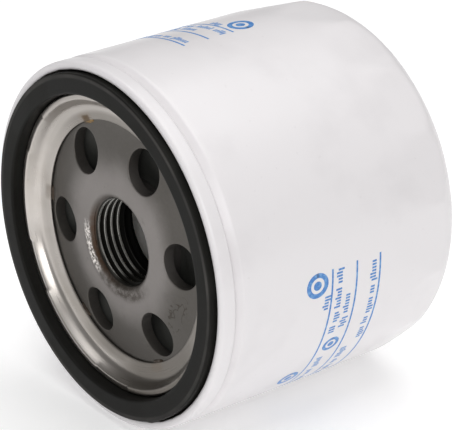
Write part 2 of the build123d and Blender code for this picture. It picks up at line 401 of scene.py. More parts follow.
@dataclass(frozen=True)
class OiledSteel(Finish):
    """Dark oiled steel: paler round the mouth by a painted reflection, burnished with a painted
    highlight and oil-stained at one side of it, and black with painted shade deep in the bore.
    """

    dark: Colour
    # the paler colour of the painted reflection on the crown
    crown_reflection: Colour
    # the colour of the stains and the scrapes, and of the painted shadow round the mouth
    stain_and_shade: Colour
    mouth_radius: float
    crown_radius: float
    minor_radius: float
    rust: Colour = (0.085, 0.046, 0.026)
    # near-white: burnished steel with a painted highlight
    burnish_glint: Colour = (0.92, 0.87, 0.83)
    thread_oil: Colour = (0.018, 0.017, 0.014)
    # the pale colour of the painted highlight on the thread's crests
    crest_highlight: Colour = (0.50, 0.49, 0.46)
    # black painted shade deep in the bore, and the station where it starts
    thread_shade: Colour = (0.003, 0.003, 0.0025)
    shade_station: float = 10.6
    thread_front: float = 6.2
    glint_side: float = 204.0
    stained_side: float = 250.0
    rusty_side: float = 203.0
    lit_side: float = 185.0
    scuffed_side: float = -25.0
    scuffed_radius: float = 20.1
    name: str = "oiled_steel"

    def face(self, graph: Graph, radius: Sock, cloud: Sock, grain: Sock) -> Sock:
        """Return the colour of the plate's face: its stains and rust, a painted reflection on the
        crown, a painted shadow round the mouth and a burnished patch with a painted highlight.
        """
        mouth = self.mouth_radius
        # painted reflection: the crown round the mouth is paler
        centre = (radius + cloud * 5.0).fade(self.crown_radius, self.crown_radius + 7.0)
        colour = graph.mix(centre * 0.72 + grain * 0.2, self.dark, self.crown_reflection)
        scuff = graph.noise(420.0, 5.0, 0.75).ramp(0.60, 0.70)
        colour = graph.mix(scuff * 0.30, colour, self.dark)
        # painted shadow: a dark ring round the mouth's edge, in the stain colour
        colour = graph.mix(radius.fade(mouth + 0.3, mouth + 1.5, 0.65), colour, self.stain_and_shade)
        spotted = graph.noise(700.0, 5.0, 0.75).ramp(0.34, 0.62)
        ring = (radius + cloud * 1.6).band(mouth + 0.6, mouth + 3.2, 1.5)
        stained = ring * (spotted * 0.8 + 0.2) * graph.toward(self.stained_side).ramp(0.1, 0.7)
        colour = graph.mix(stained * 0.9, colour, self.stain_and_shade)
        rusty = radius.fade(mouth + 0.4, mouth + 1.7)
        rusty = rusty * graph.toward(self.rusty_side).ramp(0.45, 0.95) * (spotted * 0.5 + 0.5)
        colour = graph.mix(rusty * 0.8, colour, self.rust)
        # a burnished band with a painted highlight: bright sparkle at one side of the mouth
        band = (radius + grain * 0.9).band(mouth + 1.9, mouth + 2.9, 0.7)
        pale_mark = graph.noise(1700.0, 3.0, 0.7).ramp(0.36, 0.62) * band
        pale_mark = pale_mark * graph.toward(self.glint_side).ramp(0.84, 0.97)
        return graph.mix(pale_mark * 0.95, colour, self.burnish_glint)

    def scrape(self, graph: Graph, radius: Sock) -> Sock:
        """Return the strength of the scrapes low down on the plate's rim."""
        lines = graph.noise(330.0, 2.0, 0.6).band(0.50, 0.52, 0.02)
        near = radius.band(self.scuffed_radius - 1.6, self.scuffed_radius + 1.8, 0.8)
        return lines * near * graph.toward(self.scuffed_side).ramp(0.965, 0.99)

    def bore(self, radius: Sock, station: Sock) -> Sock:
        """Return 1 inside the threaded mouth and 0 on the face."""
        inside = radius.fade(self.mouth_radius, self.mouth_radius + 0.25)
        behind = station.ramp(self.thread_front, self.thread_front + 0.4)
        near = radius.fade(self.mouth_radius + 0.5, self.mouth_radius + 0.7)
        return inside.maximum(behind * near)

    def thread(self, graph: Graph, radius: Sock, deep_shade: Sock) -> Sock:
        """Return the thread's colour: oily flanks, crests with a painted highlight on the lit side,
        and black painted shade deep inside.
        """
        # painted highlight on the crests, towards the lit side
        crest = radius.fade(self.minor_radius + 0.04, self.minor_radius + 0.16)
        crest = crest * graph.toward(self.lit_side).ramp(0.15, 0.5)
        colour = graph.mix(crest, self.thread_oil, self.crest_highlight)
        return graph.mix(deep_shade, colour, self.thread_shade)

    def shader(self, graph: Graph) -> Sock:
        """Return the steel's shader in graph."""
        radius, station, _ = graph.axial()
        cloud = graph.noise(60.0, 5.0, 0.62)
        grain = graph.noise(1500.0, 3.0, 0.7)
        scrape = self.scrape(graph, radius)
        colour = graph.mix(scrape * 0.7, self.face(graph, radius, cloud, grain), self.stain_and_shade)
        bore = self.bore(radius, station)
        # painted shade: the bore turns black deep inside
        deep_shade = bore * station.ramp(self.shade_station, self.shade_station + 1.6)
        return graph.principled(
            base_color=graph.mix(bore, colour, self.thread(graph, radius, deep_shade)),
            metallic=0.7,
            specular_ior_level=0.3,
            roughness=cloud.ramp(0.3, 0.7, 0.30, 0.44) + grain * 0.08 - bore * 0.12 + deep_shade * 0.5,
            normal=graph.bump(grain + cloud * 0.6 - scrape * 5.0, 0.010, 0.6),
        )


@dataclass(frozen=True)
class Rubber(Finish):
    """Moulded nitrile rubber with fine turned lines and a little dust."""

    name: str
    colour: Colour
    pale_mark: Colour
    roughness: float
    lines: float = 3.0
    edge: float = 0.0
    sheen: float = 0.12
    # the colour of the painted highlight line along the edge
    edge_highlight: Colour = (0.13, 0.122, 0.115)

    def shader(self, graph: Graph) -> Sock:
        """Return the rubber's shader in graph, with a painted highlight line along its edge radius
        if it has one.
        """
        turned = graph.scratches(self.lines, 1.5)
        dust = graph.noise(1100.0, 2.0).ramp(0.70, 0.78)
        cloud = graph.noise(90.0, 4.0).ramp(0.35, 0.75)
        colour = graph.mix(cloud * 0.35 + turned * 0.3 + dust * 0.5, self.colour, self.pale_mark)
        if self.edge:
            # painted highlight: a paler line just inside the edge radius
            line = (graph.axial()[0] + turned * 0.3).band(self.edge - 0.35, self.edge, 0.4)
            colour = graph.mix(line * (0.12 + cloud * 0.3), colour, self.edge_highlight)
        grain = graph.noise(2600.0, 2.0)
        return graph.principled(
            base_color=colour,
            roughness=cloud.ramp(0.0, 1.0, self.roughness - 0.06, self.roughness + 0.08),
            specular_ior_level=self.sheen,
            normal=graph.bump(turned + grain * 0.6, 0.012, 0.5),
        )


@dataclass(frozen=True)
class Steel(Finish):
    """Plain steel with drawing lines, for the pieces inside the can."""

    name: str
    colour: Colour
    roughness: float = 0.32
    metallic: float = 1.0
    darkened: float = 0.55

    def shader(self, graph: Graph) -> Sock:
        """Return the steel's shader in graph."""
        streak = graph.scratches(2.6, 2.0)
        darkening = graph.noise(140.0, 4.0).ramp(0.4, 0.75)
        darker = tuple(channel * self.darkened for channel in self.colour)
        return graph.principled(
            base_color=graph.mix(darkening * 0.6, self.colour, darker),
            metallic=self.metallic,
            roughness=streak.ramp(0.2, 0.8, self.roughness - 0.07, self.roughness + 0.12),
            normal=graph.bump(streak, 0.008, 0.5),
        )


@dataclass(frozen=True)
class WeldScale(Finish):
    """Heat-tinted weld metal: straw gold on one weld and dark brown on the rest."""

    name: str = "weld_scale"
    straw: Colour = (0.30, 0.19, 0.075)
    scale: Colour = (0.060, 0.045, 0.034)
    gilt_side: float = 116.3

    def shader(self, graph: Graph) -> Sock:
        """Return the weld's shader in graph."""
        patch = graph.noise(500.0, 3.0, 0.55)
        gilt = graph.toward(self.gilt_side).ramp(0.86, 0.98) * patch.ramp(0.34, 0.60)
        return graph.principled(
            base_color=graph.mix(gilt, self.scale, self.straw),
            metallic=0.8,
            roughness=patch.ramp(0.3, 0.7, 0.32, 0.6),
            normal=graph.bump(patch, 0.03, 0.5),
        )


@dataclass(frozen=True)
class Paper(Finish):
    """Resin-treated cellulose with a fibrous face."""

    name: str = "filter_paper"
    colour: Colour = (0.62, 0.42, 0.19)
    fibre: Colour = (0.40, 0.25, 0.10)

    def shader(self, graph: Graph) -> Sock:
        """Return the paper's shader in graph."""
        fibres = graph.noise(1800.0, 5.0, 0.75)
        return graph.principled(
            base_color=graph.mix(fibres.ramp(0.4, 0.7), self.colour, self.fibre),
            roughness=0.82,
            normal=graph.bump(fibres, 0.03, 0.7),
        )


@dataclass(frozen=True)
class Cured(Finish):
    """A cured filler: plastisol or sealing compound, slightly uneven."""

    name: str
    colour: Colour
    roughness: float = 0.5

    def shader(self, graph: Graph) -> Sock:
        """Return the filler's shader in graph."""
        lump = graph.noise(240.0, 4.0)
        darker = tuple(channel * 0.6 for channel in self.colour)
        return graph.principled(
            base_color=graph.mix(lump.ramp(0.35, 0.7), self.colour, darker),
            roughness=lump.ramp(0.3, 0.7, self.roughness - 0.1, self.roughness + 0.1),
            normal=graph.bump(lump, 0.05, 0.6),
        )


@dataclass(frozen=True)
class Ink(Finish):
    """Blue pad-printed ink, thin in places."""

    name: str = "blue_ink"
    colour: Colour = (0.045, 0.20, 0.54)
    thin: Colour = (0.16, 0.36, 0.66)

    def shader(self, graph: Graph) -> Sock:
        """Return the ink's shader in graph."""
        wear = graph.noise(1300.0, 3.0).ramp(0.40, 0.72)
        return graph.principled(
            base_color=graph.mix(wear, self.colour, self.thin),
            roughness=wear.ramp(0.0, 1.0, 0.34, 0.44),
        )


@dataclass(frozen=True)
class FloorPaint(Finish):
    """Plain pale studio floor."""

    name: str = "pale_floor"
    colour: Colour = (0.93, 0.93, 0.93)
    glow: float = 0.25

    def shader(self, graph: Graph) -> Sock:
        """Return the floor's shader in graph."""
        return graph.principled(
            base_color=self.colour, roughness=0.9, specular_ior_level=0.1,
            emission_color=self.colour, emission_strength=self.glow,
        )


# ---- mesh toolkit --------------------------------------------------------------------------
@dataclass(frozen=True)
class Corner:
    """One corner of a section: radius, station along the axis, and bend radius there."""

    r: float
    y: float
    bend: float = 0.0


def swung(arm: np.ndarray, turn: float) -> np.ndarray:
    """Return arm turned by an angle in radians."""
    sine, cosine = math.sin(turn), math.cos(turn)
    return np.array((arm[0] * cosine - arm[1] * sine, arm[0] * sine + arm[1] * cosine))


def around(
    radius: np.ndarray | float, station: np.ndarray | float, turn: np.ndarray
) -> np.ndarray:
    """Return the points at these radii, stations and angles about the axis."""
    radius, station, turn = np.broadcast_arrays(radius, station, turn)
    return np.stack((radius * np.cos(turn), station, radius * np.sin(turn)), axis=-1)


def rounded(
    corners: Sequence[Corner], closed: bool = False, arc_step: float = 11.0
) -> np.ndarray:
    """Turn corners into a line with true arcs at its bends.

    Args:
        corners: The corners in order.
        closed: Whether the last corner joins the first.
        arc_step: The largest turn between two points of an arc, in degrees.

    Returns:
        The line's points as (radius, station) rows.
    """
    count = len(corners)
    line: list[np.ndarray] = []
    for index, corner in enumerate(corners):
        here = np.array((corner.r, corner.y), float)
        if corner.bend <= 0 or (not closed and index in (0, count - 1)):
            line.append(here)
            continue
        before, after = corners[index - 1], corners[(index + 1) % count]
        back = np.array((before.r, before.y)) - here
        on = np.array((after.r, after.y)) - here
        back, on = back / np.linalg.norm(back), on / np.linalg.norm(on)
        half = math.acos(float(np.clip(back @ on, -1, 1))) / 2
        middle = (back + on) / np.linalg.norm(back + on)
        centre = here + middle * corner.bend / math.sin(half)
        arm = here + back * corner.bend / math.tan(half) - centre
        sweep = math.pi - 2 * half
        sign = 1.0 if back[0] * on[1] - back[1] * on[0] < 0 else -1.0
        steps = max(2, math.ceil(math.degrees(sweep) / arc_step))
        for step in range(steps + 1):
            line.append(centre + swung(arm, sign * sweep * step / steps))
    return np.array(line)


def divided(line: np.ndarray, longest: float, closed: bool = True) -> np.ndarray:
    """Split every run of line that is longer than longest."""
    points = []
    count = len(line)
    for index in range(count if closed else count - 1):
        here, after = line[index], line[(index + 1) % count]
        parts = max(1, math.ceil(float(np.linalg.norm(after - here)) / longest))
        points += [here + (after - here) * part / parts for part in range(parts)]
    if not closed:
        points.append(line[-1])
    return np.array(points)


def sheet(line: np.ndarray, thickness: float, ends: int = 4) -> np.ndarray:
    """Return the closed outline of a metal sheet whose middle follows line."""
    runs = np.diff(line, axis=0)
    runs = runs / np.linalg.norm(runs, axis=1)[:, None]
    normal = np.column_stack((-runs[:, 1], runs[:, 0]))
    joint = np.vstack((normal[:1], normal[:-1] + normal[1:], normal[-1:]))
    joint = joint / np.linalg.norm(joint, axis=1)[:, None]
    near = np.vstack((normal[:1], normal))
    side = joint * (thickness / 2 / np.clip((joint * near).sum(1), 0.4, 1))[:, None]

    def cap(centre: np.ndarray, arm: np.ndarray) -> list[np.ndarray]:
        """Return the points of a half-round edge, from arm to its opposite."""
        return [centre + swung(arm, -math.pi * step / ends) for step in range(1, ends)]

    left, right = line + side, line - side
    return np.vstack((left, cap(line[-1], side[-1]), right[::-1], cap(line[0], -side[0])))


def grid_faces(rows: int, columns: int, wrap_rows: bool) -> np.ndarray:
    """Return the quads of a grid whose columns join up, and its rows too if wrap_rows."""
    number = np.arange(rows * columns).reshape(rows, columns)
    below, beside = np.roll(number, -1, axis=0), np.roll(number, -1, axis=1)
    opposite = np.roll(below, -1, axis=1)
    quads = np.stack((number, beside, opposite, below), axis=-1)
    return quads[: rows if wrap_rows else rows - 1].reshape(-1, 4)


class Piece:
    """A mesh being put together from patches, in millimetres about the Y axis."""

    def __init__(self, name: str) -> None:
        """Start an empty piece called name."""
        self.name = name
        self.points: list[np.ndarray] = []
        self.faces: list[np.ndarray] = []
        self.count = 0

    def patch(self, points: np.ndarray, faces: np.ndarray) -> None:
        """Add points in millimetres and the faces that number them."""
        self.points.append(points.reshape(-1, 3))
        self.faces.append(faces + self.count)
        self.count += len(self.points[-1])

    def spin(
        self,
        line: np.ndarray,
        segments: int,
        closed: bool = True,
        start: float = 0.0,
        warp: Warp | None = None,
    ) -> "Piece":
        """Turn a section about the axis.

        Args:
            line: The section's (radius, station) points.
            segments: How many steps go round the axis.
            closed: Whether the last point joins the first.
            start: The angle of the first step, in degrees.
            warp: Moves radius and station by angle, for flutes and dents.

        Returns:
            The piece itself.
        """
        angle = math.radians(start) + np.arange(segments) * TURN / segments
        radius, turn = np.meshgrid(line[:, 0], angle, indexing="ij")
        station = np.repeat(line[:, 1:2], segments, axis=1)
        if warp:
            radius, station = warp(radius, station, turn)
        self.patch(around(radius, station, turn), grid_faces(len(line), segments, closed))
        return self

    def build(self, material: bpy.types.Material, crease: float = 32.0) -> bpy.types.Object:
        """Make the Blender object.

        Args:
            material: The piece's finish.
            crease: Edges that turn by more than this many degrees stay sharp.

        Returns:
            The object, linked to the scene.
        """
        mesh = bpy.data.meshes.new(self.name)
        points = np.vstack(self.points) * MM
        faces = [tuple(face) for patch in self.faces for face in patch.tolist()]
        mesh.from_pydata(points.tolist(), [], faces)
        body = bmesh.new()
        body.from_mesh(mesh)
        bmesh.ops.remove_doubles(body, verts=body.verts, dist=MERGE_DISTANCE)
        bmesh.ops.dissolve_degenerate(body, edges=body.edges, dist=MERGE_DISTANCE)
        bmesh.ops.recalc_face_normals(body, faces=body.faces)
        body.to_mesh(mesh)
        body.free()
        mesh.shade_smooth()
        mesh.set_sharp_from_angle(angle=math.radians(crease))
        mesh.materials.append(material)
        made = bpy.data.objects.new(self.name, mesh)
        bpy.context.scene.collection.objects.link(made)
        return made


class Body(Enum):
    """The bodies of the frame that pieces ride on."""

    ROOT = "root"
    POPPET = "bypass_poppet"
    LIP = "drainback_lip"


def fit(
    made: bpy.types.Object, node: str, body: Body = Body.ROOT
) -> bpy.types.Object:
    """Let made stand for a CAD node and move with its body.

    Args:
        made: The finished piece.
        node: The CAD node that it replaces.
        body: The body that it rides on.

    Returns:
        The same piece.
    """
    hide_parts(node)
    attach(made, body.value)
    log.info("%s: %d faces on %s", made.name, len(made.data.polygons), body.value)
    return made


def reach(node: str) -> tuple[float, float, float]:
    """Return a CAD node's outer radius, front station and rear station in millimetres."""
    low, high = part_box(node)
    return high.x / MM, low.y / MM, high.y / MM


def dress(node: str, finish: Finish) -> bpy.types.Object:
    """Give a CAD node that stays in view its finish, and return it."""
    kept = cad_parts[node]
    material = finish.material()
    for place in kept.material_slots:
        place.material = material
    log.info("%s: CAD node dressed in %s", kept.name, material.name)
    return kept


# ---- shell: canister, lid, gasket and plate ------------------------------------------------
@dataclass
class Canister:
    """Deep-drawn can with a hooked rim, a necked shoulder and a fluted closed end."""

    enamel: Enamel
    sheet: float = 0.36
    hook_radius: float = 37.32
    neck_radius: float = 36.52
    hook_end: float = 3.95
    neck_end: float = 4.97
    shoulder: float = 6.62
    corner: float = 8.3
    crown_drop: float = 0.9
    flutes: int = 16
    flute_start: float = 47.0
    flute_slope: float = 5.0
    flute_blend: float = 0.12
    flute_ease: float = 4.0
    skin_depth: float = 14.0
    segments: int = 320
    radius: float = field(init=False)
    front: float = field(init=False)
    rear: float = field(init=False)

    def __post_init__(self) -> None:
        """Read the can's outer size from the frame."""
        self.radius, self.front, self.rear = reach("canister")

    def flute(
        self, radius: np.ndarray, station: np.ndarray, angle: np.ndarray
    ) -> tuple[np.ndarray, np.ndarray]:
        """Press the tilted flats of the flutes into the skin."""
        pitch = TURN / self.flutes
        across = (angle + pitch / 2) % pitch - pitch / 2
        slope = math.tan(math.radians(self.flute_slope))
        flat = (self.radius - (station - self.flute_start) * slope) / np.cos(across)
        gap = flat - radius
        pressed = (radius + flat - np.sqrt(gap**2 + self.flute_blend**2)) / 2
        start = self.flute_start - self.flute_ease
        shoulder = np.clip((station - start) / self.flute_ease, 0, 1)
        skin = radius > self.radius - self.skin_depth
        return np.where(skin, radius + (pressed - radius) * shoulder, radius), station

    def build(self) -> bpy.types.Object:
        """Make the can and fit it to its node."""
        wall = self.radius - self.sheet / 2
        crown = self.rear - self.sheet / 2
        line = rounded([
            Corner(self.hook_radius, self.hook_end),
            Corner(self.hook_radius, self.front + self.sheet / 2, 0.36),
            Corner(self.neck_radius, self.front + self.sheet / 2, 0.36),
            Corner(self.neck_radius, self.neck_end, 0.5),
            Corner(wall, self.shoulder, 1.2),
            Corner(wall, self.flute_start - self.flute_ease),
            Corner(wall, crown - self.crown_drop, self.corner - self.sheet / 2),
            Corner(wall * 0.6, crown - self.crown_drop * 0.36, 200.0),
            Corner(0.02, crown),
        ], arc_step=6.0)
        outline = divided(sheet(line, self.sheet), 1.2)
        can = Piece("canister_shell").spin(outline, self.segments, warp=self.flute)
        return fit(can.build(self.enamel.material()), "canister")


@dataclass
class SeamingLid:
    """Pressed tinplate ring: gasket channel inside, rolled double seam outside."""

    finish: LidFinish
    sheet: float = 0.42
    inner_radius: float = 25.3
    inner_station: float = 5.51
    slope_radius: float = 28.6
    slope_station: float = 4.8
    crest_inner: float = 30.0
    crest_outer: float = 30.95
    crest_station: float = 2.5
    channel_radius: float = 31.05
    floor_station: float = 5.69
    chuck_radius: float = 36.10
    wall_radius: float = 37.74
    top_station: float = 1.41
    curl_station: float = 4.41
    hook_radius: float = 36.92
    hook_end: float = 2.45
    stakes: int = 6
    stake_phase: float = 149.0
    stake_width: float = 20.7
    stake_depth: float = 0.22
    stake_inner: float = 29.4
    stake_outer: float = 32.0
    stake_back: float = 4.6
    segments: int = 720

    def stake(
        self, radius: np.ndarray, station: np.ndarray, angle: np.ndarray
    ) -> tuple[np.ndarray, np.ndarray]:
        """Push the crest outwards over each staked stretch of the ring."""
        pitch = 360.0 / self.stakes
        away = np.abs((np.degrees(angle) - self.stake_phase + pitch / 2) % pitch - pitch / 2)
        inside = np.clip((self.stake_width / 2 - away) / 0.8 + 0.5, 0, 1)
        crest = np.clip((radius - self.stake_inner) / 0.8, 0, 1)
        crest = crest * np.clip((self.stake_outer - radius) / 0.4, 0, 1)
        crest = crest * np.clip((self.stake_back - station) / 1.4, 0, 1)
        dent = self.stake_depth * inside * crest
        return radius + dent * 0.8, station + dent

    def build(self) -> bpy.types.Object:
        """Make the lid and fit it to its node."""
        line = rounded([
            Corner(self.inner_radius, self.inner_station),
            Corner(self.slope_radius, self.slope_station, 2.0),
            Corner(self.crest_inner, self.crest_station, 0.42),
            Corner(self.crest_outer, self.crest_station, 0.26),
            Corner(self.channel_radius, self.floor_station, 0.5),
            Corner(self.chuck_radius, self.floor_station, 0.5),
            Corner(self.chuck_radius, self.top_station, 0.72),
            Corner(self.wall_radius, self.top_station, 0.72),
            Corner(self.wall_radius, self.curl_station, 0.36),
            Corner(self.hook_radius, self.curl_station, 0.36),
            Corner(self.hook_radius, self.hook_end),
        ])
        outline = divided(sheet(line, self.sheet), 0.6)
        lid = Piece("seaming_lid_ring").spin(outline, self.segments, warp=self.stake)
        return fit(lid.build(self.finish.material()), "seaming_lid")


@dataclass
class Gasket:
    """Moulded face gasket with a flat face, rounded edges and a mould line in its bore."""

    rubber: Rubber
    inner_radius: float = 31.4
    inner_edge: float = 0.55
    outer_edge: float = 0.38
    back_edge: float = 0.4
    mould_share: float = 0.62
    mould_width: float = 0.06
    mould_depth: float = 0.05
    segments: int = 360
    radius: float = field(init=False)
    rear: float = field(init=False)

    def __post_init__(self) -> None:
        """Read the gasket's size from the frame."""
        self.radius, _, self.rear = reach("sealing_gasket")

    def build(self) -> bpy.types.Object:
        """Make the gasket and fit it to its node."""
        middle = self.rear * self.mould_share
        line = rounded([
            Corner(self.inner_radius, 0.0, self.inner_edge),
            Corner(self.radius, 0.0, self.outer_edge),
            Corner(self.radius, self.rear, self.back_edge),
            Corner(self.inner_radius, self.rear, self.back_edge),
            Corner(self.inner_radius, middle + self.mould_width),
            Corner(self.inner_radius - self.mould_depth, middle),
            Corner(self.inner_radius, middle - self.mould_width),
        ], closed=True)
        ring = Piece("gasket_ring").spin(divided(line, 0.5), self.segments)
        return fit(ring.build(self.rubber.material()), "sealing_gasket")


@dataclass
class TappingPlate:
    """Thick plate with inlet holes and an extruded collar that carries the thread.

    The thread is thread_form of its depth at each of thread_knots, which count the pitch's rows.
    """

    steel: OiledSteel
    thickness: float = 2.5
    crown: float = 4.6
    rim: float = 5.9
    flat_radius: float = 16.5
    slope_radius: float = 24.5
    lip_radius: float = 1.8
    minor_radius: float = 8.75
    major_radius: float = 9.525
    pitch: float = 1.5875
    holes: int = 6
    hole_radius: float = 4.65
    hole_circle: float = 19.7
    hole_phase: float = 6.3
    web_inner: float = 13.2
    web_outer: float = 26.4
    collar_radius: float = 11.9375
    front_blend: float = 0.06
    funnel_depth: float = 0.5
    hole_roll: float = 0.22
    hole_burr: float = 0.15
    web_shares: tuple[float, ...] = (1.0, 0.75, 0.52, 0.32, 0.16, 0.05)
    thread_knots: tuple[float, ...] = (0.0, 3.6, 4.4, 8.6, 9.3, 10.7, 11.4, 15.6, 16.0)
    thread_form: tuple[float, ...] = (0.0, 0.0, 0.08, 0.92, 1.0, 1.0, 0.92, 0.08, 0.0)
    thread_rows: int = 16
    arc_steps: int = 24
    side_steps: int = 12
    radius: float = field(init=False)
    collar_end: float = field(init=False)

    def __post_init__(self) -> None:
        """Read the plate's outer size from the frame."""
        self.radius, _, self.collar_end = reach("tapping_plate")

    def front(self, radius: np.ndarray) -> np.ndarray:
        """Return the front face's station: a flat crown, then a gentle slope to the rim."""
        share = (radius - self.flat_radius) / (self.slope_radius - self.flat_radius)
        rise = (np.sqrt(share**2 + self.front_blend) + share) / 2
        over = (np.sqrt((1 - share) ** 2 + self.front_blend) + (1 - share)) / 2
        return self.crown + (self.rim - self.crown) * np.clip((rise + 1 - over) / 2, 0, 1)

    def lip(self, station: np.ndarray) -> np.ndarray:
        """Return the funnel's radius at a station behind the crown."""
        depth = np.clip(self.crown + self.lip_radius - station, 0, self.lip_radius)
        return self.minor_radius + self.lip_radius - np.sqrt(self.lip_radius**2 - depth**2)

    def web(self, piece: Piece, centre: float) -> None:
        """Add one hole with the web round it: front face, hole wall and back face."""
        half = math.pi / self.holes
        ahead = np.linspace(-half, half, self.arc_steps + 1)[:-1]
        outward = np.linspace(self.web_inner, self.web_outer, self.side_steps + 1)[:-1]
        radius = np.concatenate((
            np.full(self.arc_steps, self.web_inner), outward,
            np.full(self.arc_steps, self.web_outer), self.web_inner + self.web_outer - outward,
        ))
        angle = centre + np.concatenate((
            ahead, np.full(self.side_steps, half), -ahead, np.full(self.side_steps, -half)
        ))
        edge = np.column_stack((radius * np.cos(angle), radius * np.sin(angle)))
        hub = self.hole_circle * np.array((math.cos(centre), math.sin(centre)))
        away = edge - hub
        away = away / np.linalg.norm(away, axis=1)[:, None]
        loops = []

        def loop(plan: np.ndarray, depth: float, back: bool) -> None:
            """Keep one loop of points, depth behind the front or ahead of the back face."""
            face = self.front(np.linalg.norm(plan, axis=1))
            level = face + self.thickness - depth if back else face + depth
            loops.append(np.column_stack((plan[:, 0], level, plan[:, 1])))

        def run(rounding: float, shares: Sequence[float], back: bool) -> None:
            """Keep the loops of one face, from the web's edge to the hole or back again."""
            inner = hub + away * (self.hole_radius + rounding)
            for share in shares:
                loop(inner + (edge - inner) * share, 0.0, back)

        def bend(rounding: float, turns: Sequence[float], back: bool) -> None:
            """Keep the loops of one rounded edge of the hole."""
            for turn in turns:
                out = self.hole_radius + rounding * (1 - math.sin(turn))
                loop(hub + away * out, rounding * (1 - math.cos(turn)), back)

        run(self.hole_roll, self.web_shares, False)
        bend(self.hole_roll, np.linspace(0, math.pi / 2, 6), False)
        bend(self.hole_burr, np.linspace(math.pi / 2, 0, 3), True)
        run(self.hole_burr, self.web_shares[::-1], True)
        piece.patch(np.stack(loops), grid_faces(len(loops), len(edge), False))

    def thread(self, piece: Piece, start: float, first: float, last: float) -> None:
        """Add the collar's bore between two stations, with its thread cut as a helix."""
        segments = self.arc_steps * self.holes
        depth = self.major_radius - self.minor_radius
        step = self.pitch / self.thread_rows
        rows = math.ceil((last - first + self.pitch) / step) + 1
        row = np.arange(rows)
        form = np.interp(row % self.thread_rows, self.thread_knots, self.thread_form)
        form = self.minor_radius + depth * form
        along = np.arange(segments) / segments
        station = np.clip(first + row[:, None] * step - self.pitch * along[None, :], first, last)
        bevel = self.minor_radius + np.clip(station - last + depth, 0, depth)
        radius = np.maximum(np.maximum(form[:, None], self.lip(station)), bevel)
        quads = grid_faces(rows, segments, False).reshape(rows - 1, segments, 4)
        here = np.arange(rows - 1)
        joined = [np.maximum(here + ahead - self.thread_rows, 0) * segments for ahead in (0, 1)]
        quads[:, -1, 1], quads[:, -1, 2] = joined
        piece.patch(around(radius, station, start + along * TURN), quads.reshape(-1, 4))

    def build(self) -> bpy.types.Object:
        """Make the plate and fit it to its node."""
        piece = Piece("tapping_plate_threaded")
        half = 180.0 / self.holes
        start = self.hole_phase - half
        segments = self.arc_steps * self.holes
        for hole in range(self.holes):
            self.web(piece, math.radians(self.hole_phase + 2 * half * hole))
        first = self.crown + self.funnel_depth
        turn = np.linspace(0, 1, 9)
        down = self.crown + (first - self.crown) * turn**2
        crown = float(self.front(np.array(self.web_inner)))
        blend = np.linspace(self.web_inner, float(self.lip(np.array(self.crown))), 5)[:-1]
        funnel = np.vstack((
            np.column_stack((blend, np.linspace(crown, self.crown, 5)[:-1])),
            np.column_stack((self.lip(down), down)),
        ))
        piece.spin(divided(funnel, 0.4, closed=False), segments, False, start)
        self.thread(piece, math.radians(start), first, self.collar_end)
        back = crown + self.thickness
        collar = rounded([
            Corner(self.major_radius, self.collar_end),
            Corner(self.collar_radius, self.collar_end, 0.5),
            Corner(self.collar_radius, back, 0.8),
            Corner(self.web_inner, back),
        ])
        piece.spin(divided(collar, 1.0, closed=False), segments, False, start)
        rim_front = float(self.front(np.array(self.web_outer)))
        rim = rounded([
            Corner(self.web_outer, rim_front),
            Corner(self.slope_radius + 3.5, self.rim),
            Corner(self.radius, self.rim, 0.3),
            Corner(self.radius, self.rim + self.thickness, 0.3),
            Corner(self.web_outer, rim_front + self.thickness),
        ])
        piece.spin(divided(rim, 2.0, closed=False), segments, False, start)
        return fit(piece.build(self.steel.material()), "tapping_plate")


@dataclass
class LidWelds:
    """Projection welds with a little flash, at the lid's inner edge."""

    scale: WeldScale
    count: int = 6
    phase: float = 56.3
    arc: float = 8.0
    height: float = 0.34
    inner: float = 24.5
    outer: float = 25.8
    plate: float = 5.88
    skirt: float = 0.03
    lump: float = 0.2

    def bead(self, piece: Piece, weld: int) -> None:
        """Add one bead: a lumpy top, a flat underside and the wall between them."""
        side, run = np.meshgrid(np.linspace(-1, 1, 10), np.linspace(-1, 1, 16), indexing="ij")
        swell = (1 - run**4 * 0.35) * (self.outer - self.inner) / 2
        radius = (self.inner + self.outer) / 2 + side * swell
        middle = math.radians(self.phase + 360.0 / self.count * weld)
        angle = middle + run * math.radians(self.arc / 2)
        rise = self.height * (1 - side**2 * 0.8) * (1 - run**4 * 0.8) + self.skirt
        rise = rise * (1 + self.lump * np.sin(5 * run + weld) * np.cos(3 * side + 2 * weld))
        number = np.arange(side.size).reshape(side.shape)
        corners = (number[:-1, :-1], number[:-1, 1:], number[1:, 1:], number[1:, :-1])
        quads = np.stack(corners, axis=-1).reshape(-1, 4)
        rim = np.concatenate((number[0, :-1], number[:-1, -1], number[-1, :0:-1], number[:0:-1, 0]))
        on = np.roll(rim, -1)
        wall = np.column_stack((rim, on, on + side.size, rim + side.size))
        piece.patch(
            np.stack([around(radius, self.plate - up, angle) for up in (rise, 0.0)]),
            np.vstack((quads, quads[:, ::-1] + side.size, wall)),
        )

    def build(self) -> bpy.types.Object:
        """Make the welds as one group of separate beads."""
        piece = Piece("lid_weld_beads")
        for weld in range(self.count):
            self.bead(piece, weld)
        return fit(piece.build(self.scale.material()), "lid_spot_welds")


